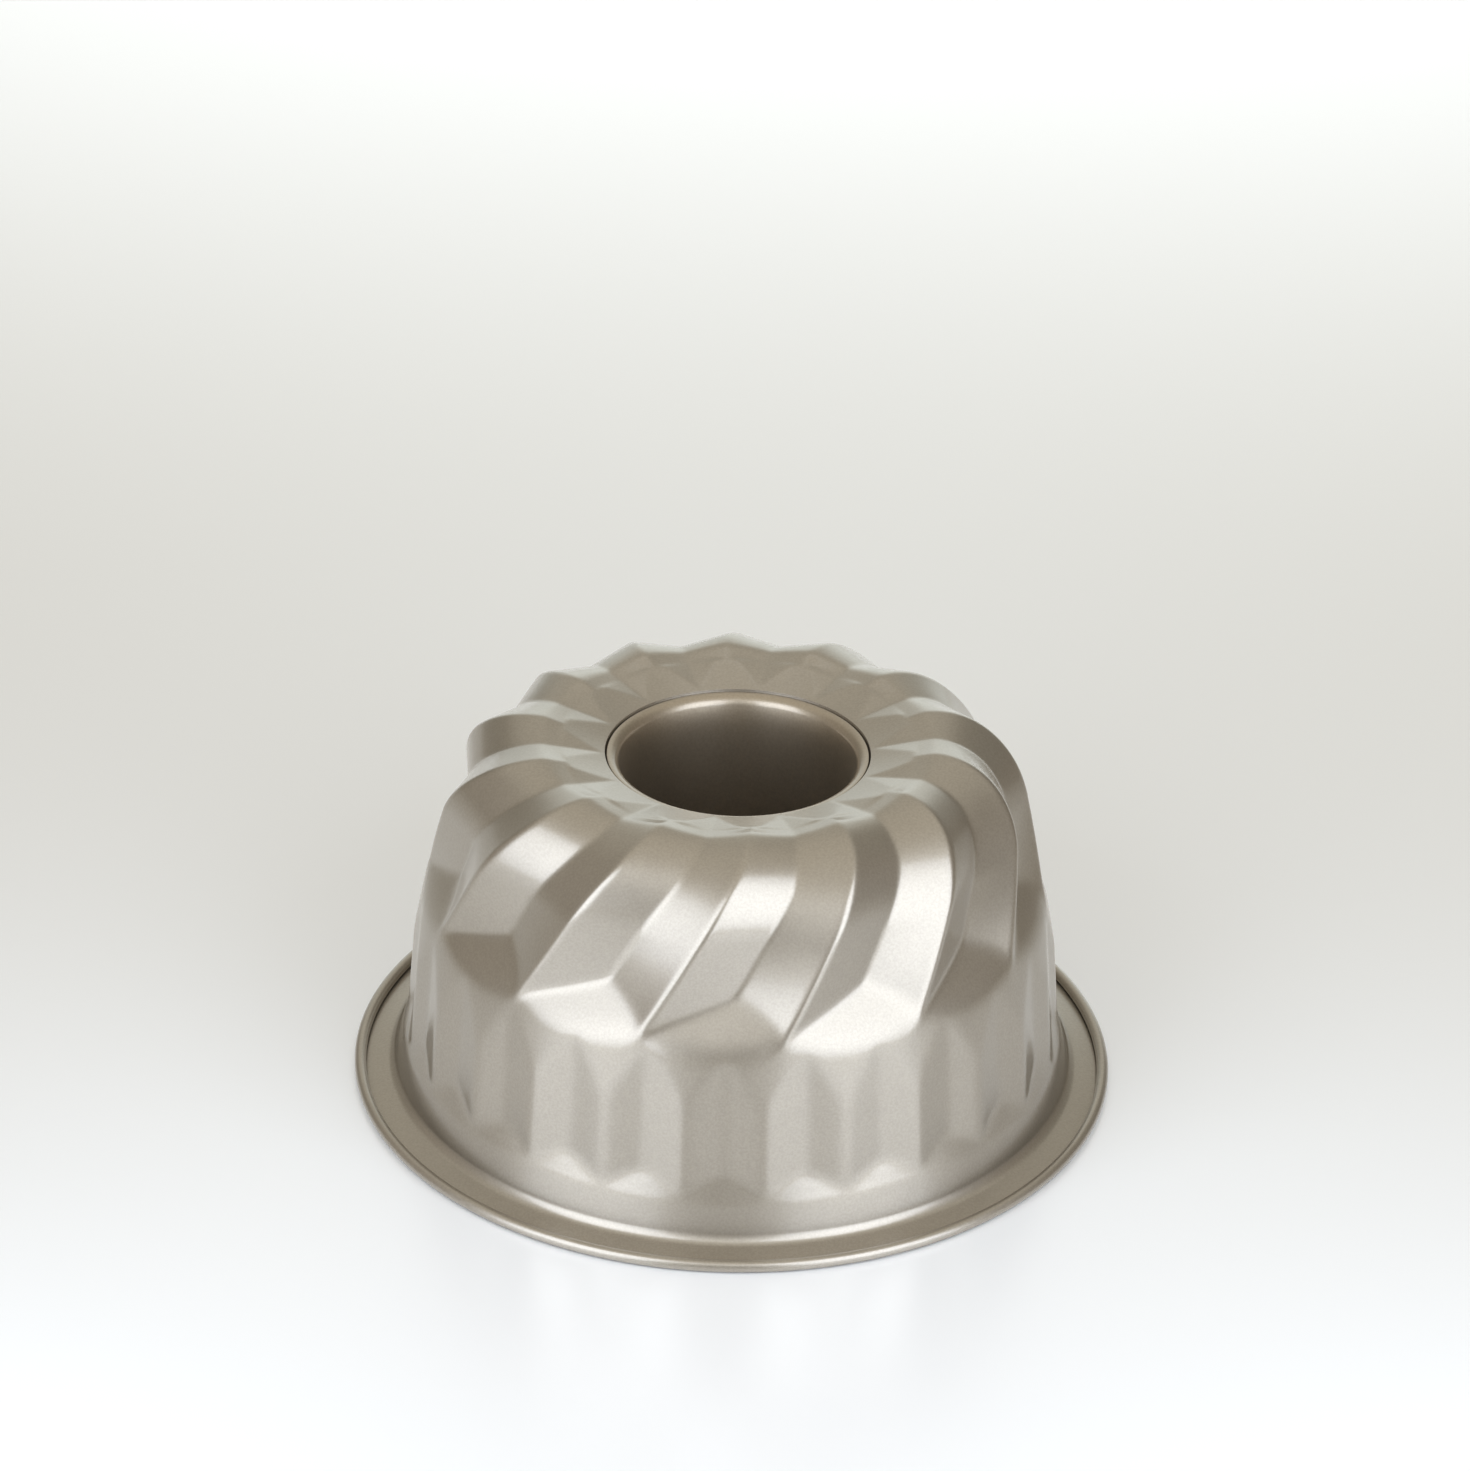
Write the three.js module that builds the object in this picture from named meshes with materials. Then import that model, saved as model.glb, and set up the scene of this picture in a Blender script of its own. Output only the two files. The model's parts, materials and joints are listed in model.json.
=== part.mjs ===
// Fluted tube pan: a ring-cake mould pressed from coated sheet steel, standing on its rim, mouth down.
// Millimetres, +Z up, origin at the centre of the plane the rim rests on, front towards -Y.
import * as THREE from 'three';

const { clamp, degToRad, lerp } = THREE.MathUtils;

// Sheet, and the gap left where the two pieces are crimped together
const sheet = 0.6;
const seatGap = 0.3;

// Rolled rim, flat flange, and the cove that leads up to the wall
const rimRadius = 110;
const beadRadius = 1.7;
const curlSweep = degToRad(285);
const coveRadius = 4;
const footRadius = 95.9;

// Wall: a straight taper from the waist down, cut by upright V flutes above a plain foot
const waistRadius = 88.4;
const waistHeight = 61;
const wallDraft = degToRad(11.45);
const wallFlutes = 26;
const wallFluteTurn = degToRad(6);
const plainBand = 1.2;
const ridgeTop = 40;
const valleyDraft = degToRad(4.9);
const runOutDraft = degToRad(21.3);
const footTop = 15.4;
const footTopRadius = 95.7;

// Crown: the taper rounds over a shoulder and falls inwards to the recess that holds the tube
const crownHeight = 106.5;
const shoulderRadius = 27;
const crownRadius = 11;
const innerFall = degToRad(19);
const recessDepth = 1.5;
const recessLean = 0.3;

// Swirled V grooves over the crown, each ending at the waist in a flat shelf
const swirlGrooves = 14;
const swirlTurn = degToRad(9.66);
const grooveDepth = 7.4;
const grooveFade = 1.25;
const shelfTilt = degToRad(50);
const swirlRate = degToRad(0.37);
const swirlEase = 40;
const swirlEnd = 70;

// Centre tube: a tapered funnel with a flared lip, a flange on the seat and a folded bead under it
const flangeRadius = 36.6;
const seamWidth = 0.8;
const flangeLand = 0.2;
const flangeLap = 1;
const foldLap = 1.5;
const flareRadius = 4.8;
const tubeDraft = degToRad(3.3);
const tubeEnd = 3;

// How finely the curves are divided
const grooveSteps = 6;
const fluteSteps = 4;
const meridianSteps = 10;
const coveSteps = 3;
const curlSteps = 6;
const tubeSegments = 60;
const arcDivisions = 2;

// Height of the straight-sided rings above the shelves, and the least length of a patch at a shelf's tips
const grooveStart = 14;
const tipLength = 0.3;

const groovePitch = 2 * Math.PI / swirlGrooves;
const flutePitch = 2 * Math.PI / wallFlutes;

// A point of the pan from its distance to the axis, its turn from the front and its height
function panPoint(radius, turn, height) {
  return new THREE.Vector3(radius * Math.sin(turn), -radius * Math.cos(turn), height);
}

function wallRadius(height) {
  return waistRadius - Math.tan(wallDraft) * (height - waistHeight);
}

// Plan radius of a flat V face, at a turn away from its valley; the ridge is at half a pitch
function faceRadius(valley, ridge, halfPitch, away) {
  const lean = (1 / ridge - Math.cos(halfPitch) / valley) / Math.sin(halfPitch);
  return 1 / (Math.cos(away) / valley + Math.sin(away) * lean);
}

// Where a rising function passes zero
function crossing(rising, low, high) {
  let from = low;
  let to = high;
  for (let step = 0; step < 40; step += 1) {
    const middle = (from + to) / 2;
    if (rising(middle) > 0) {
      to = middle;
    } else {
      from = middle;
    }
  }
  return (from + to) / 2;
}

// The recess leaves an open seam round the tube's flange
const recessFloorRadius = flangeRadius + seamWidth;
const recessRadius = recessFloorRadius + recessLean;

// Meridian over the ridges, from the waist up and over to the recess: x is the radius, y the height
const shoulderHeight = crownHeight - shoulderRadius;
const tangentHeight = shoulderHeight + shoulderRadius * Math.sin(wallDraft);
const crownTopRadius = wallRadius(tangentHeight) - shoulderRadius * Math.cos(wallDraft);
const crownCentre = crownHeight - crownRadius;
const fallRadius = crownTopRadius - crownRadius * Math.sin(innerFall);
const fallHeight = crownCentre + crownRadius * Math.cos(innerFall);
const recessHeight = fallHeight - Math.tan(innerFall) * (fallRadius - recessRadius);

const meridian = new THREE.Path();
meridian.moveTo(waistRadius, waistHeight);
meridian.lineTo(wallRadius(tangentHeight), tangentHeight);
meridian.absarc(crownTopRadius, shoulderHeight, shoulderRadius, wallDraft, Math.PI / 2);
meridian.absarc(crownTopRadius, crownCentre, crownRadius, Math.PI / 2, Math.PI / 2 + innerFall);
meridian.lineTo(recessRadius, recessHeight);
const meridianLength = meridian.getLength();

// Turn gained along the meridian: steady up the side, easing off over the crown
function swirl(run) {
  const eased = clamp(run - swirlEase, 0, swirlEnd - swirlEase);
  return swirlRate * (Math.min(run, swirlEnd) - eased * eased / (2 * (swirlEnd - swirlEase)));
}

// Section of the grooved crown at a run along the meridian; share is 0 and 1 on ridges, 0.5 in the valley
function groovePoint(run, share) {
  const along = run / meridianLength;
  const ridge = meridian.getPoint(along);
  const tangent = meridian.getTangent(along);
  const depth = grooveDepth * Math.max(Math.cos(along * Math.PI / 2), 0) ** grooveFade;
  const away = Math.abs(share - 0.5) * groovePitch;
  const ramp = depth * (1 - 2 * away / groovePitch);
  const flat = ridge.x - faceRadius(ridge.x - depth, ridge.x, groovePitch / 2, away);
  const sunk = lerp(ramp, flat, tangent.y);
  return new THREE.Vector2(ridge.x - sunk * tangent.y, ridge.y + sunk * tangent.x);
}

// The flat shelf that ends a groove, as a radius at a turn from the groove's middle and a height
const shelfFall = 1 / Math.tan(shelfTilt);
const shelfMiddle = waistRadius * Math.cos(groovePitch / 2);

function shelfRadius(turn, height) {
  return (shelfMiddle - shelfFall * (height - waistHeight)) / Math.cos(turn);
}

// Height at which a shelf comes out onto the wall, lowest in the groove's middle
function shelfFoot(turn) {
  const inset = waistRadius - shelfRadius(turn, waistHeight);
  const drop = inset / (shelfFall / Math.cos(turn) - Math.tan(wallDraft));
  return waistHeight - Math.max(drop, tipLength);
}

// The plain band under the shelves, where the groove pattern gives way to the flute pattern
const fluteTop = shelfFoot(0) - plainBand;
const bandTop = shelfFoot(0) - plainBand / 3;
const bandBottom = fluteTop + plainBand / 3;

// Skin of the body as closed rings of points, laid from the tube hole outwards and down to the rim;
// behind holds the points of the sheet's second face that a section gives exactly
const skin = [];
const faces = [];
const behind = new Map();

function addRing(count, place) {
  const first = skin.length;
  for (let column = 0; column < count; column += 1) {
    skin.push(place(column));
  }
  return Array.from({ length: count }, (_, column) => first + column);
}

// Joins two rings with the same number of points, splitting each patch along its shorter diagonal
function joinRings(above, below) {
  above.forEach((corner, column) => {
    const foot = below[column];
    const nextCorner = above[(column + 1) % above.length];
    const nextFoot = below[(column + 1) % below.length];
    const falling = skin[corner].distanceTo(skin[nextFoot]);
    if (falling <= skin[foot].distanceTo(skin[nextCorner])) {
      faces.push(corner, foot, nextFoot, corner, nextFoot, nextCorner);
    } else {
      faces.push(corner, foot, nextCorner, foot, nextFoot, nextCorner);
    }
  });
}

// Joins two rings with different numbers of points
function bridgeRings(above, below) {
  const turnOf = (index) => (Math.atan2(skin[index].x, -skin[index].y) + 2 * Math.PI) % (2 * Math.PI);
  const inOrder = (ring) => [...ring].sort((a, b) => turnOf(a) - turnOf(b));
  const upper = inOrder(above);
  const lower = inOrder(below);
  const turnAt = (ring, step) => turnOf(ring[step % ring.length]) + (step < ring.length ? 0 : 2 * Math.PI);
  let up = 0;
  let down = 0;
  while (up < upper.length || down < lower.length) {
    const corner = upper[up % upper.length];
    const foot = lower[down % lower.length];
    const upperIsNext = turnAt(upper, up + 1) <= turnAt(lower, down + 1);
    if (down === lower.length || (up < upper.length && upperIsNext)) {
      up += 1;
      faces.push(corner, foot, upper[up % upper.length]);
    } else {
      down += 1;
      faces.push(corner, foot, lower[down % lower.length]);
    }
  }
}

// Rings of the grooved crown
const grooveColumns = swirlGrooves * grooveSteps;
const grooveShare = (column) => (column % grooveSteps) / grooveSteps;
const grooveTurn = (column) => swirlTurn + column * groovePitch / grooveSteps;
const fromMiddle = (column) => (grooveShare(column) - 0.5) * groovePitch;

function crownRing(radius, height) {
  const turned = swirl(meridianLength);
  return addRing(grooveColumns, (column) => panPoint(radius, grooveTurn(column) + turned, height));
}

function grooveRing(runOf) {
  return addRing(grooveColumns, (column) => {
    const run = runOf(column);
    const place = groovePoint(run, grooveShare(column));
    return panPoint(place.x, grooveTurn(column) + swirl(run), place.y);
  });
}

// Run at which a groove face comes down onto its shelf
function shelfRun(column) {
  const aboveShelf = (run) => {
    const place = groovePoint(run, grooveShare(column));
    return place.x - shelfRadius(fromMiddle(column) + swirl(run), place.y);
  };
  return Math.max(crossing(aboveShelf, 0, grooveStart), tipLength);
}

const holeRadius = flangeRadius - flangeLap;
const seatHeight = recessHeight - recessDepth;
const hole = crownRing(holeRadius, seatHeight);
const crownRings = [hole, crownRing(recessFloorRadius, seatHeight)];
for (let step = meridianSteps; step >= 0; step -= 1) {
  const run = lerp(grooveStart, meridianLength, step / meridianSteps);
  crownRings.push(grooveRing(() => run));
}
const shelfRuns = Array.from({ length: grooveColumns }, (_, column) => shelfRun(column));
crownRings.push(grooveRing((column) => (grooveStart + shelfRuns[column]) / 2));
crownRings.push(grooveRing((column) => shelfRuns[column]));
crownRings.push(addRing(grooveColumns, (column) => {
  const height = shelfFoot(fromMiddle(column));
  return panPoint(wallRadius(height), grooveTurn(column), height);
}));
crownRings.push(addRing(grooveColumns, (column) => {
  return panPoint(wallRadius(bandTop), grooveTurn(column), bandTop);
}));

// Rings of the fluted wall, the cove, the flange and the rolled rim
const fluteColumns = wallFlutes * fluteSteps;
const fluteTurn = (column) => wallFluteTurn + column * flutePitch / fluteSteps;
const fromValley = (column) => Math.abs((column % fluteSteps) / fluteSteps - 0.5) * flutePitch;

// Flat flute faces: ridges and valleys lean together, so their radii keep one ratio
const valleyRadius = (height) => wallRadius(fluteTop) + Math.tan(valleyDraft) * (fluteTop - height);
const ridgeRatio = wallRadius(ridgeTop) / valleyRadius(ridgeTop);

function fluteRadius(column, height) {
  const valley = valleyRadius(height);
  return faceRadius(valley, ridgeRatio * valley, flutePitch / 2, fromValley(column));
}

function runOutRadius(height) {
  return footTopRadius - Math.tan(runOutDraft) * (height - footTop);
}

function wallRing(radiusOf, heightOf) {
  return addRing(fluteColumns, (column) => {
    const height = heightOf(column);
    return panPoint(radiusOf(column, height), fluteTurn(column), height);
  });
}

function plainRing(radius, height) {
  return wallRing(() => radius, () => height);
}

// Heights at which a flute face runs out, upwards into the wall and downwards into the foot
function intoWall(column) {
  const beyondWall = (height) => fluteRadius(column, height) - wallRadius(height);
  return crossing(beyondWall, footTop, waistHeight);
}

function intoFoot(column) {
  const beyondFoot = (height) => fluteRadius(column, height) - runOutRadius(height);
  return crossing(beyondFoot, footTop, ridgeTop);
}

// A plain ring on an arc of the section; both faces of the sheet follow the arc about its centre
function arcRing(centre, radius, angle) {
  const along = new THREE.Vector2(Math.cos(angle), Math.sin(angle));
  const front = along.clone().multiplyScalar(radius).add(centre);
  const back = along.clone().multiplyScalar(radius + sheet).add(centre);
  const ring = plainRing(front.x, front.y);
  ring.forEach((index, column) => behind.set(index, panPoint(back.x, fluteTurn(column), back.y)));
  return ring;
}

const coveCentre = new THREE.Vector2(footRadius + coveRadius, sheet + coveRadius);
const beadCentre = new THREE.Vector2(rimRadius - beadRadius, beadRadius);
const wallRings = [
  plainRing(wallRadius(bandBottom), bandBottom),
  wallRing(fluteRadius, intoWall),
  wallRing(fluteRadius, intoFoot),
  plainRing(footTopRadius, footTop),
];
for (let step = 0; step <= coveSteps; step += 1) {
  wallRings.push(arcRing(coveCentre, coveRadius, Math.PI + step / coveSteps * Math.PI / 2));
}
for (let step = 0; step <= curlSteps; step += 1) {
  wallRings.push(arcRing(beadCentre, beadRadius - sheet, step / curlSteps * curlSweep - Math.PI / 2));
}

for (const rings of [crownRings, wallRings]) {
  rings.slice(1).forEach((ring, step) => joinRings(rings[step], ring));
}
bridgeRings(crownRings.at(-1), wallRings[0]);

// The second face of the sheet lies one thickness behind the skin, and the two are joined at both edges
function thicken() {
  const front = new THREE.BufferGeometry().setFromPoints(skin);
  front.setIndex([...faces]);
  front.computeVertexNormals();
  const normals = front.getAttribute('normal');
  const count = skin.length;
  const back = skin.map((point, index) => {
    const normal = new THREE.Vector3().fromBufferAttribute(normals, index);
    return behind.get(index) ?? point.clone().addScaledVector(normal, -sheet);
  });
  skin.push(...back);
  const corners = faces.length;
  for (let face = 0; face < corners; face += 3) {
    faces.push(faces[face] + count, faces[face + 2] + count, faces[face + 1] + count);
  }
  const opposite = (ring) => ring.map((index) => index + count);
  const rimEdge = wallRings.at(-1);
  joinRings(opposite(hole), hole);
  joinRings(rimEdge, opposite(rimEdge));
  const solid = new THREE.BufferGeometry().setFromPoints(skin);
  solid.setIndex(faces);
  solid.computeVertexNormals();
  return solid;
}

// Section of the centre tube, from the bore at its lower end over the lip and back down the outside
const flangeTop = seatHeight + seatGap + sheet;
const flareCentre = new THREE.Vector2(flangeRadius - flangeLand, flangeTop - flareRadius);
const underRadius = flareRadius - sheet;
const foldTop = seatHeight - sheet - seatGap;
const foldBottom = foldTop - 2 * sheet;
const foldRadius = holeRadius + foldLap;
const underAngle = (height) => Math.PI - Math.asin((height - flareCentre.y) / underRadius);
const neckHeight = flareCentre.y + flareRadius * Math.sin(tubeDraft);
const neckRadius = flareCentre.x - flareRadius * Math.cos(tubeDraft);
const boreEnd = neckRadius - Math.tan(tubeDraft) * (neckHeight - tubeEnd);

const tubeSection = new THREE.Path();
tubeSection.moveTo(boreEnd, tubeEnd);
tubeSection.lineTo(neckRadius, neckHeight);
tubeSection.absarc(flareCentre.x, flareCentre.y, flareRadius, Math.PI - tubeDraft, Math.PI / 2, true);
tubeSection.lineTo(flangeRadius, flangeTop);
tubeSection.lineTo(flangeRadius, flangeTop - sheet);
tubeSection.absarc(flareCentre.x, flareCentre.y, underRadius, Math.PI / 2, underAngle(foldTop));
tubeSection.absarc(foldRadius - sheet, foldTop - sheet, sheet, Math.PI / 2, -Math.PI / 2, true);
tubeSection.absarc(flareCentre.x, flareCentre.y, underRadius, underAngle(foldBottom), Math.PI - tubeDraft);
tubeSection.lineTo(boreEnd + sheet / Math.cos(tubeDraft), tubeEnd);
tubeSection.lineTo(boreEnd, tubeEnd);

const coating = { color: 0xa69c8b, metalness: 0.7, roughness: 0.38 };
const body = new THREE.Mesh(thicken(), new THREE.MeshStandardMaterial(coating));
body.name = 'fluted_body';

const tubeOutline = tubeSection.getPoints(arcDivisions).reverse();
const tubeGeometry = new THREE.LatheGeometry(tubeOutline, tubeSegments);
const tube = new THREE.Mesh(tubeGeometry, new THREE.MeshStandardMaterial({ ...coating, color: 0x9a8f7e }));
tube.name = 'centre_tube';
tube.rotation.x = Math.PI / 2;

const pan = new THREE.Group();
pan.name = 'fluted_tube_pan';
pan.add(body, tube);

export default pan;
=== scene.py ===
import json
import math

import bpy
import numpy as np
from mathutils import Matrix, Vector

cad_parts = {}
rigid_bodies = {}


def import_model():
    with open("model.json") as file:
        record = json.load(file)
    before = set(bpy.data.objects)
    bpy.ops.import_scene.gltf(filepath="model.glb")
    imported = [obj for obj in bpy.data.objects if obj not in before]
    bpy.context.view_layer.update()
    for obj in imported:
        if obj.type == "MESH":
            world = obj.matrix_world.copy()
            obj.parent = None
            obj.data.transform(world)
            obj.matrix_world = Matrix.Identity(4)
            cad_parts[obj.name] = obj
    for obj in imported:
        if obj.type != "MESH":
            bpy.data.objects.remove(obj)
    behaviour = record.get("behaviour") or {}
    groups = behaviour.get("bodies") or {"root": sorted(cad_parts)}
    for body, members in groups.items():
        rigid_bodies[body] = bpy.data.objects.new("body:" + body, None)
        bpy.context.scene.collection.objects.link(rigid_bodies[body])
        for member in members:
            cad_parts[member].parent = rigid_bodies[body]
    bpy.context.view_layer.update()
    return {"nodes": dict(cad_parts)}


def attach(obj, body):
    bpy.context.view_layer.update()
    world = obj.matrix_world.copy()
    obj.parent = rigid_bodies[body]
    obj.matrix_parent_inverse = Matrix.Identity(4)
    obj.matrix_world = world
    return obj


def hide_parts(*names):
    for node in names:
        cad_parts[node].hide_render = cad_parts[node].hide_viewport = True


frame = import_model()
mm = 0.001  # the pan's sizes below are in millimetres, its angles in degrees
print("frame loaded:", ", ".join(sorted(frame["nodes"])))

bodyShape = {
    "sheet": 0.6,
    "rimRadius": 110, "beadRadius": 1.7, "curlSweep": 285,  # rolled edge
    "flangeRise": 11, "coveRadius": 3.5,
    "footDraft": 14.5, "footTop": 13.5, "footTopRadius": 95.3,
    "waistRadius": 88.4, "waistHeight": 61, "wallDraft": 11.45,
    "wallFlutes": 26, "wallFluteTurn": 6, "plainBand": 1.2,  # upright V flutes, and the plain wall over them
    "ridgeTop": 40, "valleyDraft": 4.9, "runOutDraft": 22,
    "crownHeight": 106.5, "shoulderRadius": 27, "crownRadius": 11, "innerFall": 16.5,
    "recessFloorRadius": 37.3, "recessLean": 0.2, "recessDepth": 1.5, "holeRadius": 35.6,
    "recessEdge": (0.15, -0.2),  # step from the floor's radius and the recess's edge
    "recessRound": [(0.05, 0.35), (-0.1, 0.1), (-0.35, 0), (-1.2, 0)],  # steps from the floor's rim
    "swirlGrooves": 14, "swirlTurn": 9.66, "grooveDepth": 7.4, "grooveFade": 1.25,
    "swirlRate": 0.37, "swirlEase": 40, "swirlEnd": 70,  # degrees for each millimetre up, easing off to none
    "shelfTilt": 50, "shelfEdge": 0.9, "shelfCorner": 0.4,
    "pointStart": 50, "pointBlend": 8, "pointDepth": 1.7,  # the grooves' points on the inner slope
    "grooveSoftness": 0.8, "pointSoftness": 0.55, "fluteSoftness": 1.4, "profileSoftness": 1.2,  # press radii
    "softAbove": 6, "coveRows": 3,  # the profile is soft to this far over the ridges, but for these first rows
    "recessBlend": 1,  # the grooves end this far before the recess
    "curlPoints": 45, "flangePoints": 9, "covePoints": 16, "shoulderPoints": 80, "crownPoints": 20,
    "columns": 1092, "rowStep": 0.55, "sharpAngle": 55,
}


def arcPoints(centre, radius, fromAngle, toAngle, count):
    angles = np.radians(np.linspace(fromAngle, toAngle, count))
    return np.column_stack((centre[0] + radius * np.cos(angles), centre[1] + radius * np.sin(angles)))


def evenPoints(points, step):
    # the same line with points at an even spacing, and how far along each one lies
    points = np.asarray(points, float)
    along = np.concatenate(([0], np.cumsum(np.hypot(*np.diff(points, axis=0).T))))
    spots = np.linspace(0, along[-1], int(round(along[-1] / step)) + 1)
    return np.column_stack([np.interp(spots, along, values) for values in points.T]), spots


def blurAlong(values, spots, width):
    # Gaussian average down the rows; the ends stay put because the rows are mirrored past them
    weights = np.zeros((len(spots), len(spots)))
    for centre in (spots, 2 * spots[0] - spots, 2 * spots[-1] - spots):
        weights += np.exp(-0.5 * ((spots[:, None] - centre[None, :]) / width) ** 2)
    return (weights / weights.sum(1, keepdims=True)) @ values


def blurAround(values, radii, width):
    # Gaussian average round each closed row
    waves = np.arange(values.shape[1] // 2 + 1)
    keep = np.exp(-0.5 * (waves[None, :] * width / radii[:, None]) ** 2)
    return np.fft.irfft(np.fft.rfft(values, axis=1) * keep, values.shape[1], axis=1)


def softened(depths, section, spots, width):
    return blurAlong(blurAround(depths, section[:, 0], width), spots, width)


def slope(angle):
    return math.tan(math.radians(angle))


def faceRadius(valley, ridge, halfPitch, away):
    # plan radius of a flat V face at a turn away from its valley
    lean = (1 / ridge - math.cos(halfPitch) / valley) / math.sin(halfPitch)
    return 1 / (np.cos(away) / valley + np.sin(away) * lean)


def wallRadius(height):
    return bodyShape["waistRadius"] - slope(bodyShape["wallDraft"]) * (height - bodyShape["waistHeight"])


def flangeEnd():
    # where the rolled edge runs into the flange
    rise = math.radians(bodyShape["flangeRise"])
    curl = bodyShape["beadRadius"] - bodyShape["sheet"]
    return (bodyShape["rimRadius"] - bodyShape["beadRadius"] - curl * math.sin(rise),
            bodyShape["beadRadius"] - curl * math.cos(rise))


def footCove():
    # the small round between the flange and the foot's cone: its centre, and where it meets the cone
    lean, rise = math.radians(bodyShape["footDraft"]), math.radians(bodyShape["flangeRise"])
    radius, (outer, low) = bodyShape["coveRadius"], flangeEnd()
    level = bodyShape["footTopRadius"] + math.tan(lean) * (bodyShape["footTop"] - low)  # the cone down there
    height = low + math.tan(rise) * (outer - level) / (1 - math.tan(rise) * math.tan(lean))
    corner = level - math.tan(lean) * (height - low)
    reach = radius * math.tan(math.pi / 4 - (lean + rise) / 2)
    centre = (corner + reach * math.cos(rise) + radius * math.sin(rise),
              height - reach * math.sin(rise) + radius * math.cos(rise))
    return centre, (corner - reach * math.sin(lean), height + reach * math.cos(lean))


def shelfPlane():
    # plane of a groove's shelf: its radius in the groove's middle at the waist, and its fall with height
    halfPitch = math.pi / bodyShape["swirlGrooves"]
    return bodyShape["waistRadius"] * math.cos(halfPitch), 1 / slope(bodyShape["shelfTilt"])


def fluteLines():
    # straight lines of the wall flutes: each gives a radius at a height
    middle, fall = shelfPlane()
    shelfDrop = (bodyShape["waistRadius"] - middle) / (fall - slope(bodyShape["wallDraft"]))
    top = bodyShape["waistHeight"] - shelfDrop - bodyShape["plainBand"]
    valleyLean, runOutLean = slope(bodyShape["valleyDraft"]), slope(bodyShape["runOutDraft"])
    valley = lambda height: wallRadius(top) + valleyLean * (top - height)
    runOut = lambda height: bodyShape["footTopRadius"] - runOutLean * (height - bodyShape["footTop"])
    ratio = wallRadius(bodyShape["ridgeTop"]) / valley(bodyShape["ridgeTop"])  # ridge to valley
    return valley, ratio, runOut


def sideSection():
    # section over the ridges, from the top of the cove up the wall and over the crown to the recess
    valley, ratio, runOut = fluteLines()
    low, high = bodyShape["footTop"], bodyShape["ridgeTop"]
    gapLow = ratio * valley(low) - runOut(low)
    gapHigh = ratio * valley(high) - runOut(high)
    tipHeight = low - gapLow * (high - low) / (gapHigh - gapLow)  # where the ridges run out below
    lower = [
        footCove()[1],
        (bodyShape["footTopRadius"], low),
        (runOut(tipHeight), tipHeight),
        (wallRadius(high), high),
        (bodyShape["waistRadius"], bodyShape["waistHeight"]),
    ]
    draft, fall = bodyShape["wallDraft"], bodyShape["innerFall"]
    shoulderHeight = bodyShape["crownHeight"] - bodyShape["shoulderRadius"]
    tangentHeight = shoulderHeight + bodyShape["shoulderRadius"] * math.sin(math.radians(draft))
    crownTop = wallRadius(tangentHeight) - bodyShape["shoulderRadius"] * math.cos(math.radians(draft))
    shoulderCentre = (crownTop, shoulderHeight)
    crownCentre = (crownTop, bodyShape["crownHeight"] - bodyShape["crownRadius"])
    shoulder = arcPoints(shoulderCentre, bodyShape["shoulderRadius"], draft, 90, bodyShape["shoulderPoints"])
    crown = arcPoints(crownCentre, bodyShape["crownRadius"], 90, 90 + fall, bodyShape["crownPoints"])
    recessRadius = bodyShape["recessFloorRadius"] + bodyShape["recessLean"]
    recessHeight = crown[-1][1] - slope(fall) * (crown[-1][0] - recessRadius)
    return np.vstack((lower, shoulder, crown[1:], [(recessRadius, recessHeight)]))


def softSection():
    # the section with the lower wall's corners rounded, how far along its rows lie, and where the waist is
    sharp, spots = evenPoints(sideSection(), bodyShape["rowStep"])
    section = sharp.copy()
    low = sharp[:, 1] < bodyShape["ridgeTop"] + bodyShape["softAbove"]
    section[low] = blurAlong(sharp, spots, bodyShape["profileSoftness"])[low]
    section[:bodyShape["coveRows"]] = sharp[:bodyShape["coveRows"]]  # these go straight on from the cove
    waist = spots[np.argmin(np.abs(sharp[:, 1] - bodyShape["waistHeight"]))]
    return section, spots, waist


def rowNormals(section):
    ahead = np.gradient(section, axis=0)
    ahead /= np.linalg.norm(ahead, axis=1, keepdims=True)
    return np.column_stack((ahead[:, 1], -ahead[:, 0]))


def swirlAt(run):
    ease, end = bodyShape["swirlEase"], bodyShape["swirlEnd"]
    eased = np.clip(run - ease, 0, end - ease)
    return np.radians(bodyShape["swirlRate"]) * (np.minimum(run, end) - eased ** 2 / (2 * (end - ease)))


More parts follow.
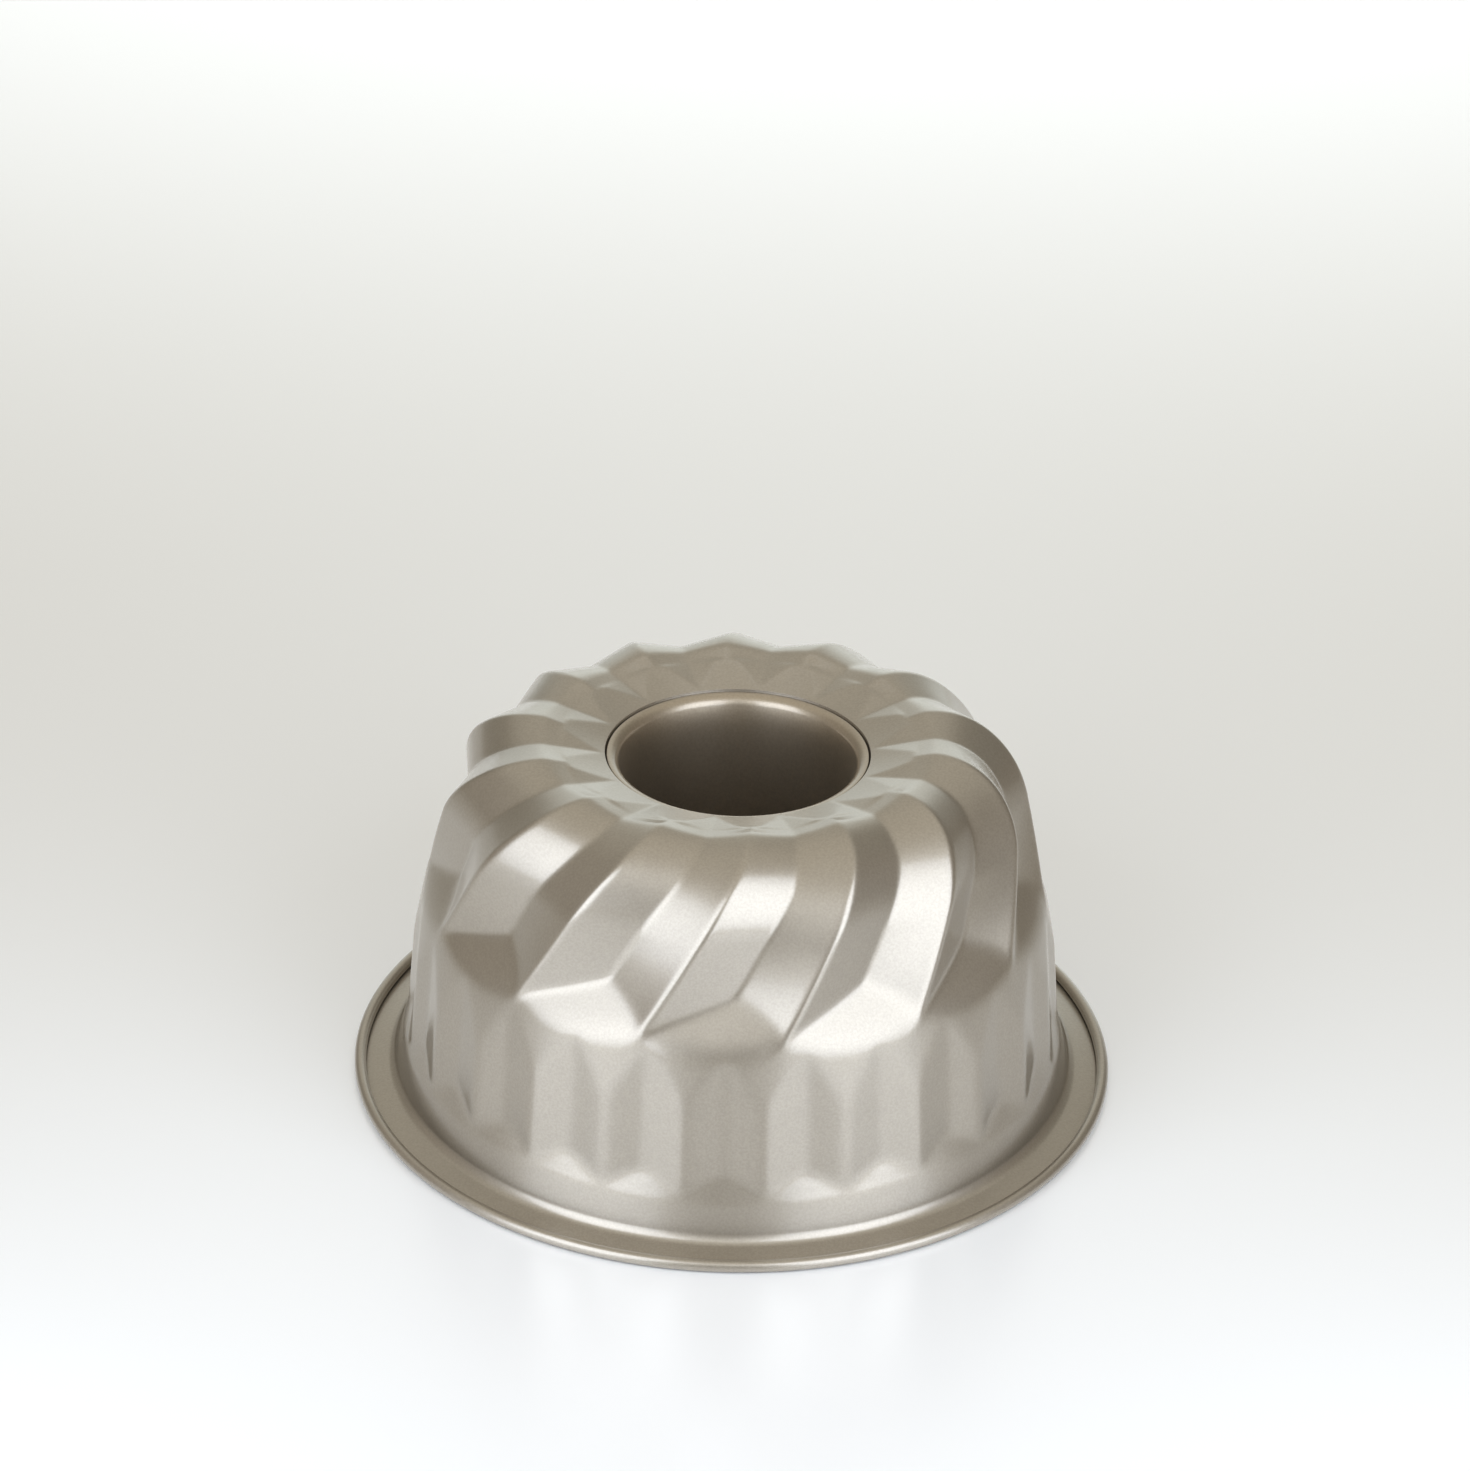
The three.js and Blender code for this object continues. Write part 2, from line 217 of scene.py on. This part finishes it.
def grooveDepths(section, normals, run, turns):
    # how far the swirled grooves and their shelves lie under the section, square to it
    pitch = 2 * math.pi / bodyShape["swirlGrooves"]
    radius, height = section[:, :1], section[:, 1:]
    outward, upward = normals[:, :1], normals[:, 1:]
    along = np.clip(run / run[-1], 0, 1)[:, None]
    depth = bodyShape["grooveDepth"] * np.cos(along * math.pi / 2).clip(0) ** bodyShape["grooveFade"]
    phase = (turns[None, :] - math.radians(bodyShape["swirlTurn"]) - swirlAt(run)[:, None]) / pitch
    away = np.abs(phase - np.floor(phase) - 0.5) * pitch
    # on the inner slope the grooves keep their flanks' lean, so that they narrow to points at the recess
    start = bodyShape["pointStart"]
    reach = np.where(radius < start, radius / start * bodyShape["pointDepth"], 0)
    ramp = np.maximum(depth - np.maximum(depth, reach) * 2 * away / pitch, 0)
    flat = radius - faceRadius(radius - depth, radius, pitch / 2, away)
    groove = ramp + (flat - ramp) * outward.clip(0)
    middle, fall = shelfPlane()
    fromMiddle = turns[None, :] - math.radians(bodyShape["swirlTurn"]) - (np.floor(phase) + 0.5) * pitch
    above = radius * np.cos(fromMiddle) - middle + fall * (height - bodyShape["waistHeight"])
    shelf = above / (outward * np.cos(fromMiddle) + fall * upward)
    shelf[run > bodyShape["swirlEase"]] = bodyShape["grooveDepth"]  # high up a groove is free of its shelf
    edge, corner = bodyShape["shelfEdge"], bodyShape["shelfCorner"]
    shelf = edge * np.logaddexp(0, shelf / edge)  # the shelf's lower edge is rolled over, not sharp
    return (-corner * np.logaddexp(-groove / corner, -shelf / corner)).clip(0)  # the lesser, with a round


def fluteDepths(section, normals, turns):
    # how far the upright V flutes lie inside the section over their ridges
    pitch = 2 * math.pi / bodyShape["wallFlutes"]
    valley, ratio, runOut = fluteLines()
    radius, height = section[:, :1], section[:, 1:]
    phase = (turns[None, :] - math.radians(bodyShape["wallFluteTurn"])) / pitch
    away = np.abs(phase - np.floor(phase) - 0.5) * pitch
    face = faceRadius(valley(height), ratio * valley(height), pitch / 2, away)
    depth = (radius - np.maximum(face, runOut(height))) * normals[:, :1]
    inWall = (height > bodyShape["footTop"]) & (height < bodyShape["waistHeight"])
    return np.where(inWall, depth, 0).clip(0)


def rimRows():
    # round the rolled edge, in along the flange and up the cove
    rise, inside = bodyShape["flangeRise"], bodyShape["beadRadius"] - bodyShape["sheet"]
    bead = (bodyShape["rimRadius"] - bodyShape["beadRadius"], bodyShape["beadRadius"])
    curl = arcPoints(bead, inside, bodyShape["curlSweep"] - 90, -90 - rise, bodyShape["curlPoints"])
    coveTop, covePoints = 180 + bodyShape["footDraft"], bodyShape["covePoints"]
    cove = arcPoints(footCove()[0], bodyShape["coveRadius"], 270 - rise, coveTop, covePoints)
    flange = np.linspace(curl[-1], cove[0], bodyShape["flangePoints"])[1:-1]
    return np.vstack((curl, flange, cove[:-1]))


def recessRows(edge):
    # down into the recess from its edge, and in over its floor to the tube hole
    floor, seat = bodyShape["recessFloorRadius"], edge - bodyShape["recessDepth"]
    out, up = bodyShape["recessEdge"]
    rows = [(floor + out, edge + up)]
    rows += [(floor + out, seat + up) for out, up in bodyShape["recessRound"]]
    return np.array(rows + [(bodyShape["holeRadius"], seat)])


def pressedRows():
    # radius and height of every point of the body's outside, row by row from the rim's edge to the tube hole
    turns = np.arange(bodyShape["columns"]) * 2 * math.pi / bodyShape["columns"]
    section, spots, waist = softSection()
    normals = rowNormals(section)
    sharpGrooves = grooveDepths(section, normals, spots - waist, turns)
    grooves = softened(sharpGrooves, section, spots, bodyShape["grooveSoftness"])
    crisp = softened(sharpGrooves, section, spots, bodyShape["pointSoftness"])
    blend = bodyShape["pointBlend"]
    inside = np.clip((bodyShape["pointStart"] + blend - section[:, 0]) / blend, 0, 1)
    grooves += (crisp - grooves) * inside[:, None]  # crisper edges on the inner slope
    flutes = softened(fluteDepths(section, normals, turns), section, spots, bodyShape["fluteSoftness"])
    depth = grooves + flutes
    # the recess's edge stays a true circle
    depth *= np.clip((spots[-1] - spots) / bodyShape["recessBlend"], 0, 1)[:, None]
    radii = section[:, :1] - depth * normals[:, :1]
    heights = section[:, 1:] - depth * normals[:, 1:]
    rim, recess = rimRows(), recessRows(section[-1, 1])
    spread = np.ones((1, len(turns)))
    radii = np.vstack((rim[:, :1] * spread, radii, recess[:, :1] * spread))
    heights = np.vstack((rim[:, 1:] * spread, heights, recess[:, 1:] * spread))
    return radii, heights, turns


def addMesh(name, points, quads, triangles, sharpAngle):
    mesh = bpy.data.meshes.new(name)
    loops = np.concatenate((quads.ravel(), triangles.ravel()))
    sizes = np.concatenate((np.full(len(quads), 4), np.full(len(triangles), 3)))
    mesh.vertices.add(len(points))
    mesh.vertices.foreach_set("co", (points * mm).ravel())
    mesh.loops.add(len(loops))
    mesh.loops.foreach_set("vertex_index", loops)
    mesh.polygons.add(len(sizes))
    mesh.polygons.foreach_set("loop_start", np.concatenate(([0], np.cumsum(sizes)[:-1])))
    mesh.polygons.foreach_set("use_smooth", np.ones(len(sizes), bool))
    mesh.update(calc_edges=True)
    mesh.validate()
    mesh.set_sharp_from_angle(angle=math.radians(sharpAngle))
    piece = bpy.data.objects.new(name, mesh)
    bpy.context.scene.collection.objects.link(piece)
    return piece


def gridQuads(rows, columns, first=0, flipped=False):
    row, column = np.meshgrid(np.arange(rows - 1), np.arange(columns), indexing="ij")
    here, above = row * columns, (row + 1) * columns
    after = (column + 1) % columns
    corners = [here + column, here + after, above + after, above + column]
    if flipped:
        corners.reverse()
    return first + np.stack([corner.ravel() for corner in corners], axis=1)


def edgeTriangles(front, back, flipped=False):
    # closes the sheet's edge: the front row has two points for each point of the back row
    left, middle, right = front[::2], front[1::2], np.roll(front[::2], -1)
    nextBack = np.roll(back, -1)
    fans = [(left, middle, back), (middle, right, nextBack), (middle, nextBack, back)]
    if flipped:
        fans = [fan[::-1] for fan in fans]
    return np.vstack([np.stack(fan, axis=1) for fan in fans])


def makeBody():
    radii, heights, turns = pressedRows()
    rows, columns = radii.shape
    points = np.stack((radii * np.sin(turns), -radii * np.cos(turns), heights), axis=2)
    around = np.roll(points, -1, axis=1) - np.roll(points, 1, axis=1)
    normals = np.cross(around, np.gradient(points, axis=0))
    normals /= np.linalg.norm(normals, axis=2, keepdims=True)
    # the sheet's back has every second row and column
    backRows = np.unique(np.append(np.arange(0, rows, 2), rows - 1))
    backShape = (len(backRows), columns // 2)
    back = (points - normals * bodyShape["sheet"])[backRows][:, ::2]
    first = rows * columns
    quads = np.vstack((gridQuads(rows, columns), gridQuads(*backShape, first, flipped=True)))
    frontIndex = np.arange(first).reshape(rows, columns)
    backIndex = first + np.arange(backShape[0] * backShape[1]).reshape(backShape)
    triangles = np.vstack((edgeTriangles(frontIndex[0], backIndex[0], flipped=True),
                           edgeTriangles(frontIndex[-1], backIndex[-1])))
    everything = np.vstack((points.reshape(-1, 3), back.reshape(-1, 3)))
    return addMesh("panBody", everything, quads, triangles, bodyShape["sharpAngle"])


panBody = makeBody()
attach(panBody, "root")
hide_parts("fluted_body")
print("pressed body:", len(panBody.data.polygons), "faces")

tubeShape = {
    "flangeRadius": 37, "flangeLand": 0.2, "edgeRound": 0.25,
    "flareRadius": 3.4, "bellDraft": 15, "bellDepth": 6,  # the mouth, and how it eases into the bore
    "tubeDraft": 3.3, "tubeEnd": 3,
    "seatGap": 0.3, "foldLap": 1.5,  # the fold under the crown's seat
    "wallPoints": 60, "lipPoints": 20, "edgePoints": 5, "neckPoints": 10, "foldPoints": 9, "throatPoints": 8,
    "segments": 240, "sharpAngle": 50,
}


def wallBelow(start):
    # the tube's wall down from its mouth: the mouth's lean eases into the tube's own draft
    lean = slope(tubeShape["tubeDraft"])
    extra = slope(tubeShape["bellDraft"]) - lean
    height = np.linspace(start[1], tubeShape["tubeEnd"], tubeShape["wallPoints"])
    fall = start[1] - height
    eased = tubeShape["bellDepth"] * (1 - np.exp(-fall / tubeShape["bellDepth"]))
    return np.column_stack((start[0] - lean * fall - extra * eased, height))


def tubeSection():
    # up the bore, over the lip and round the flange, down to the fold, and down the tube's outside
    sheet = bodyShape["sheet"]
    seat = sideSection()[-1][1] - bodyShape["recessDepth"]
    top = seat + tubeShape["seatGap"] + sheet
    foldTop = seat - sheet - tubeShape["seatGap"]
    foldRadius = bodyShape["holeRadius"] + tubeShape["foldLap"]
    flare, under = tubeShape["flareRadius"], tubeShape["flareRadius"] - sheet
    outer, edge, edgePoints = tubeShape["flangeRadius"], tubeShape["edgeRound"], tubeShape["edgePoints"]
    centre = (outer - tubeShape["flangeLand"], top - flare)
    underAngle = lambda height: 180 - math.degrees(math.asin((height - centre[1]) / under))
    mouth = 180 - tubeShape["bellDraft"]
    lip = arcPoints(centre, flare, mouth, 90, tubeShape["lipPoints"])
    rounded = np.vstack((arcPoints((outer - edge, top - edge), edge, 90, 0, edgePoints),
                         arcPoints((outer - edge, top - sheet + edge), edge, 0, -90, edgePoints)))
    neck = arcPoints(centre, under, 90, underAngle(foldTop), tubeShape["neckPoints"])
    fold = arcPoints((foldRadius - sheet, foldTop - sheet), sheet, 90, -90, tubeShape["foldPoints"])
    throat = arcPoints(centre, under, underAngle(foldTop - 2 * sheet), mouth, tubeShape["throatPoints"])
    bore = wallBelow(lip[0])[:0:-1]
    return np.vstack((bore, lip, rounded, neck, fold, throat, wallBelow(throat[-1])[1:]))


def makeTube():
    section = tubeSection()[::-1]
    count, segments = len(section), tubeShape["segments"]
    turns = np.arange(segments) * 2 * math.pi / segments
    radius, height = section[:, :1], section[:, 1:]
    spread = np.ones((1, segments))
    points = np.stack((radius * np.sin(turns), -radius * np.cos(turns), height * spread), axis=2)
    here, last = np.arange(segments), (count - 1) * segments
    after = (here + 1) % segments
    closing = np.stack((here + last, after + last, after, here), axis=1)  # the lower edge
    quads = np.vstack((gridQuads(count, segments), closing))
    noTriangles = np.zeros((0, 3), int)
    return addMesh("centreTube", points.reshape(-1, 3), quads, noTriangles, tubeShape["sharpAngle"])


centreTube = makeTube()
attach(centreTube, "root")
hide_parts("centre_tube")
print("centre tube:", len(centreTube.data.polygons), "faces")

coating = {
    "light": (0.42, 0.376, 0.312), "dark": (0.37, 0.331, 0.275), "shadeRange": (0.38, 0.62),
    # the tube's warmer tint is painted shade: it makes the shaded bore come out browner, and it tints the
    # tube's flange and lip too
    "bodyTint": (1, 1, 1), "tubeTint": (1.03, 0.975, 0.895),
    "metallic": 0.92, "roughness": 0.37, "roughnessSpread": 0.04, "roughnessRange": (0.25, 0.75),
    "coat": 1, "coatRoughness": 0.15,  # clear binder over the flakes
    "flakes": (1500, 2, 0.6), "mottle": (42, 5, 0.62), "grain": (2400, 1, 0.5),  # scale, detail, roughness
    "mottleShare": 0.25, "grainStrength": 0.35, "grainHeight": 0.00002,
}


def link(tree, fromNode, fromSocket, toNode, toSocket):
    tree.links.new(fromNode.outputs[fromSocket], toNode.inputs[toSocket])


def noiseNode(tree, coordinates, scale, detail, roughness):
    noise = tree.nodes.new("ShaderNodeTexNoise")
    noise.inputs["Scale"].default_value = scale
    noise.inputs["Detail"].default_value = detail
    noise.inputs["Roughness"].default_value = roughness
    link(tree, coordinates, "Object", noise, "Vector")
    return noise


def coatedSteel(name, tint):
    material = bpy.data.materials.new(name)
    material.use_nodes = True
    tree = material.node_tree
    shader = tree.nodes["Principled BSDF"]
    shader.inputs["Metallic"].default_value = coating["metallic"]
    shader.inputs["Coat Weight"].default_value = coating["coat"]
    shader.inputs["Coat Roughness"].default_value = coating["coatRoughness"]
    coordinates = tree.nodes.new("ShaderNodeTexCoord")

    flakes = noiseNode(tree, coordinates, *coating["flakes"])
    mottle = noiseNode(tree, coordinates, *coating["mottle"])
    share = tree.nodes.new("ShaderNodeMix")  # fine flake with a little slow mottling
    share.data_type = "FLOAT"
    share.inputs["Factor"].default_value = coating["mottleShare"]
    link(tree, flakes, "Fac", share, "A")
    link(tree, mottle, "Fac", share, "B")
    ramp = tree.nodes.new("ShaderNodeValToRGB")
    shades = zip(ramp.color_ramp.elements, coating["shadeRange"], (coating["dark"], coating["light"]))
    for element, position, shade in shades:
        element.position = position
        element.color = tuple(channel * level for channel, level in zip(shade, tint)) + (1,)
    link(tree, share, "Result", ramp, "Fac")
    link(tree, ramp, "Color", shader, "Base Color")

    polish = tree.nodes.new("ShaderNodeMapRange")
    smoothest, roughest = coating["roughnessRange"]
    polish.inputs["From Min"].default_value = smoothest
    polish.inputs["From Max"].default_value = roughest
    polish.inputs["To Min"].default_value = coating["roughness"] - coating["roughnessSpread"] / 2
    polish.inputs["To Max"].default_value = coating["roughness"] + coating["roughnessSpread"] / 2
    link(tree, mottle, "Fac", polish, "Value")
    link(tree, polish, "Result", shader, "Roughness")

    grain = noiseNode(tree, coordinates, *coating["grain"])
    bump = tree.nodes.new("ShaderNodeBump")
    bump.inputs["Strength"].default_value = coating["grainStrength"]
    bump.inputs["Distance"].default_value = coating["grainHeight"]
    link(tree, grain, "Fac", bump, "Height")
    link(tree, bump, "Normal", shader, "Normal")
    return material


panBody.data.materials.append(coatedSteel("champagneCoat", coating["bodyTint"]))
# the tube gets a warmer copy of the body's coating, a painted shade for its bore
centreTube.data.materials.append(coatedSteel("champagneCoatTube", coating["tubeTint"]))
for node, piece in (("fluted_body", panBody), ("centre_tube", centreTube)):
    frame["nodes"][node].data.materials.clear()
    frame["nodes"][node].data.materials.append(piece.data.materials[0])
print("coating ready")

floorLook = {"size": 14, "colour": (0.86, 0.86, 0.855), "roughness": 0.28, "ior": 2.6}


def makeFloor():
    half = floorLook["size"] / 2
    corners = [(-half, -half, 0), (half, -half, 0), (half, half, 0), (-half, half, 0)]
    mesh = bpy.data.meshes.new("studioFloor")
    mesh.from_pydata(corners, [], [(0, 1, 2, 3)])
    floor = bpy.data.objects.new("studioFloor", mesh)
    bpy.context.scene.collection.objects.link(floor)
    material = bpy.data.materials.new("paleFloor")
    material.use_nodes = True
    shader = material.node_tree.nodes["Principled BSDF"]
    shader.inputs["Base Color"].default_value = floorLook["colour"] + (1,)
    shader.inputs["Roughness"].default_value = floorLook["roughness"]
    shader.inputs["IOR"].default_value = floorLook["ior"]
    mesh.materials.append(material)


makeFloor()
print("floor laid")

studio = {
    "boxes": {"softBoxLeft": (-40, 0.34), "softBoxRight": (38, 0.36)},  # turn from the front, width
    "boxFoot": 0.45, "boxLift": 0.025, "boxTop": 0.37, "boxHeight": 0.6,
    "boxGlow": 2.5, "boxColour": (0.9, 1, 1.17),
    "backPlace": (0, 1.15, 1.2), "backSize": (1.6, 0.9), "backSpread": 70,
    "backGlow": 0.9, "backColour": (0.92, 1, 1.1),
    "dome": (0.58, 0.55, 0.48),
    # soft patches of the room: turn, rise, outer and inner spread in degrees, colour
    "patches": [
        (0, 90, 50, 20, (0.78, 0.735, 0.64)),
        (-105, 0, 55, 28, (0.32, 0.275, 0.22)),
        (105, 0, 55, 28, (0.24, 0.205, 0.16)),
        (176, 0, 36, 8, (1.12, 1.18, 1.14)),
        (-158, 0, 24, 6, (0.8, 0.83, 0.79)),
        (0, 8, 30, 8, (0.34, 0.31, 0.26)),
        (140, 25, 24, 8, (0.25, 0.23, 0.19)),
        (-104, 24, 28, 8, (0.44, 0.395, 0.33)),
        (-140, 14, 24, 6, (0.32, 0.295, 0.245)),
        (96, 24, 26, 8, (0.34, 0.3, 0.245)),
    ],
}


def towards(turn, rise):
    turn, rise = math.radians(turn), math.radians(rise)
    return Vector((math.sin(turn) * math.cos(rise), -math.cos(turn) * math.cos(rise), math.sin(rise)))


def makePanel(name, size, glow, place, across, rise):
    # a flat light that shines against the cross product of its two sides
    light = bpy.data.lights.new(name, "AREA")
    light.shape = "RECTANGLE"
    light.size, light.size_y = size
    light.energy = glow * math.pi * light.size * light.size_y
    lamp = bpy.data.objects.new(name, light)
    turned = Matrix((across, rise, across.cross(rise))).transposed().to_4x4()
    lamp.matrix_world = Matrix.Translation(place) @ turned
    lamp.visible_camera = False
    bpy.context.scene.collection.objects.link(lamp)
    return light


def makeSoftBox(name, turn, width):
    # stands just off the floor and leans over the pan
    outward = towards(turn, 0)
    foot = outward * studio["boxFoot"] + Vector((0, 0, studio["boxLift"]))
    top = outward * studio["boxTop"] + Vector((0, 0, studio["boxHeight"]))
    across = Vector((0, 0, 1)).cross(outward)
    size = (width, (top - foot).length)
    light = makePanel(name, size, studio["boxGlow"], (foot + top) / 2, across, (top - foot).normalized())
    light.color = studio["boxColour"]


def makeBackLight():
    # hangs over the floor behind the pan and shines straight down
    across, rise = Vector((1, 0, 0)), Vector((0, 1, 0))
    place = Vector(studio["backPlace"])
    light = makePanel("backLight", studio["backSize"], studio["backGlow"], place, across, rise)
    light.spread = math.radians(studio["backSpread"])
    light.color = studio["backColour"]


def roomPatch(tree, coordinates, direction, edge, core):
    # 1 towards a direction of the room, easing to 0 at its edge
    dot = tree.nodes.new("ShaderNodeVectorMath")
    dot.operation = "DOT_PRODUCT"
    dot.inputs[1].default_value = direction
    link(tree, coordinates, "Generated", dot, 0)
    patch = tree.nodes.new("ShaderNodeMapRange")
    patch.interpolation_type = "SMOOTHSTEP"
    patch.inputs["From Min"].default_value = math.cos(math.radians(edge))
    patch.inputs["From Max"].default_value = math.cos(math.radians(core))
    link(tree, dot, "Value", patch, "Value")
    return patch


def makeRoom():
    # a dim dome with the patches laid over it, one after the other
    world = bpy.data.worlds.new("studioRoom")
    bpy.context.scene.world = world
    world.use_nodes = True
    tree = world.node_tree
    coordinates = tree.nodes.new("ShaderNodeTexCoord")
    shade = None
    for turn, rise, edge, core, colour in studio["patches"]:
        mix = tree.nodes.new("ShaderNodeMix")
        mix.data_type = "RGBA"
        share, before, after = mix.inputs[0], mix.inputs[6], mix.inputs[7]  # its colour sockets
        before.default_value = studio["dome"] + (1,)
        after.default_value = colour + (1,)
        tree.links.new(roomPatch(tree, coordinates, towards(turn, rise), edge, core).outputs["Result"], share)
        if shade is not None:
            tree.links.new(shade, before)
        shade = mix.outputs[2]
    tree.links.new(shade, tree.nodes["Background"].inputs["Color"])


for boxName, (boxTurn, boxWidth) in studio["boxes"].items():
    makeSoftBox(boxName, boxTurn, boxWidth)
makeBackLight()
makeRoom()
print("studio lit")

photoView = {
    "place": (0, -1.04901, 0.67432), "lens": 103.873, "sensor": 36,
    "yaw": -0.00086, "pitch": 0.49636, "roll": 0.02025,  # radians
}


def makeCamera():
    yaw, pitch, roll = photoView["yaw"], photoView["pitch"], photoView["roll"]
    ahead = Vector((math.sin(yaw) * math.cos(pitch), math.cos(yaw) * math.cos(pitch), -math.sin(pitch)))
    side = Vector((math.cos(yaw), -math.sin(yaw), 0))
    above = side.cross(ahead)
    right = math.cos(roll) * side + math.sin(roll) * above
    up = math.cos(roll) * above - math.sin(roll) * side
    data = bpy.data.cameras.new("photoCamera")
    data.sensor_width, data.lens = photoView["sensor"], photoView["lens"]
    camera = bpy.data.objects.new("photoCamera", data)
    turned = Matrix((right, up, -ahead)).transposed().to_4x4()
    camera.matrix_world = Matrix.Translation(photoView["place"]) @ turned
    bpy.context.scene.collection.objects.link(camera)
    bpy.context.scene.camera = camera


makeCamera()
bpy.context.scene.view_settings.view_transform = "Standard"
print("camera set")
